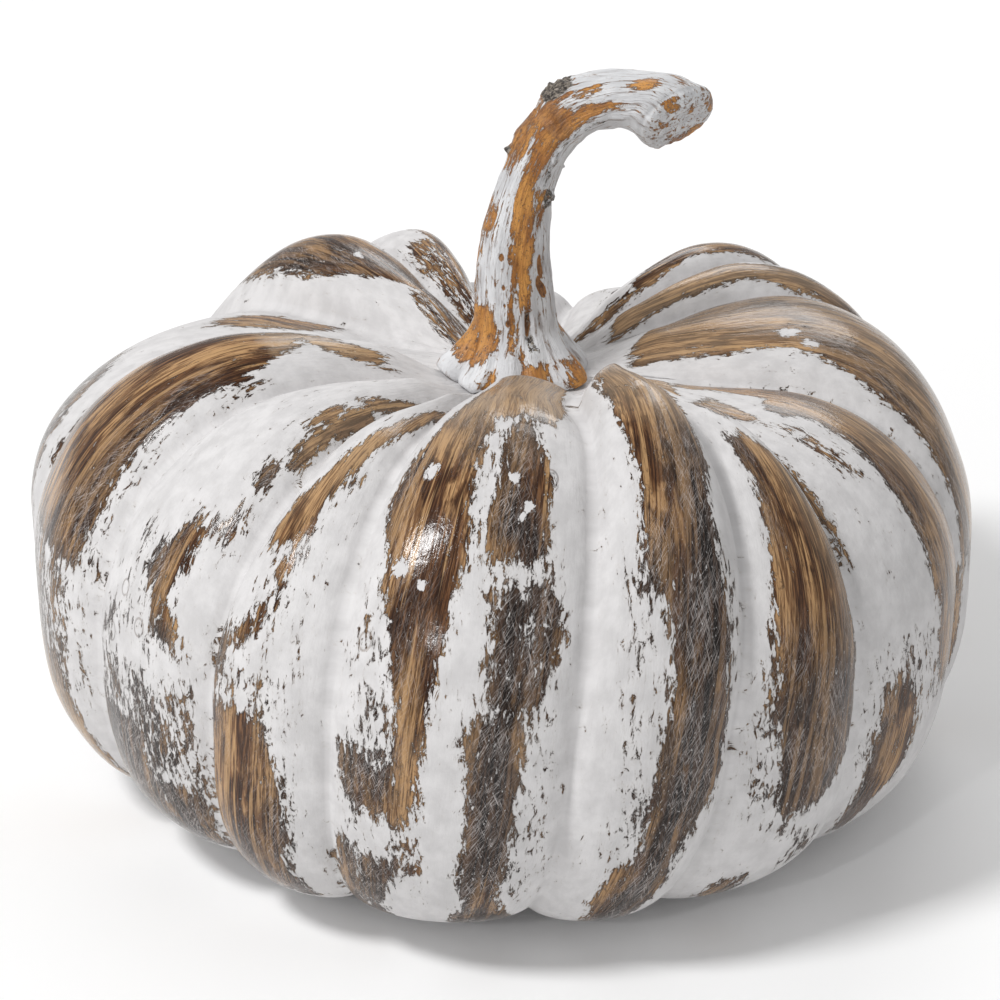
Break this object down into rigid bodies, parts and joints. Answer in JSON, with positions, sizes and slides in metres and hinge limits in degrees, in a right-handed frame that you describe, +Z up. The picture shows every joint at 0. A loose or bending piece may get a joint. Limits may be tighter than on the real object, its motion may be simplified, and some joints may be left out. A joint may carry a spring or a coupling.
{
  "type": "pumpkin figure",
  "caption": "Squat lobed pumpkin ornament with whitewashed wood-look streaks and a hooked stem, resting on felt pads.",
  "frame": {"origin": "middle of the footprint, on the table plane under the felt pads", "axes": "+Z up, -Y towards the front of the ornament, +X to the right, the way the stem hooks over"},
  "size_m": [0.274, 0.277, 0.2032],
  "materials": {
    "painted_body": "satin brown wood-look glaze under flaking matte white paint",
    "painted_stem": "satin tan base coat, dry-brushed white",
    "adhesive": "cured glue",
    "felt": "felt"
  },
  "bodies": {
    "root": {"body_shell": "painted_body", "stem": "painted_stem", "stem_adhesive": "adhesive", "foot_pad_1": "felt", "foot_pad_2": "felt", "foot_pad_3": "felt", "foot_pad_4": "felt"}
  },
  "joints": []
}
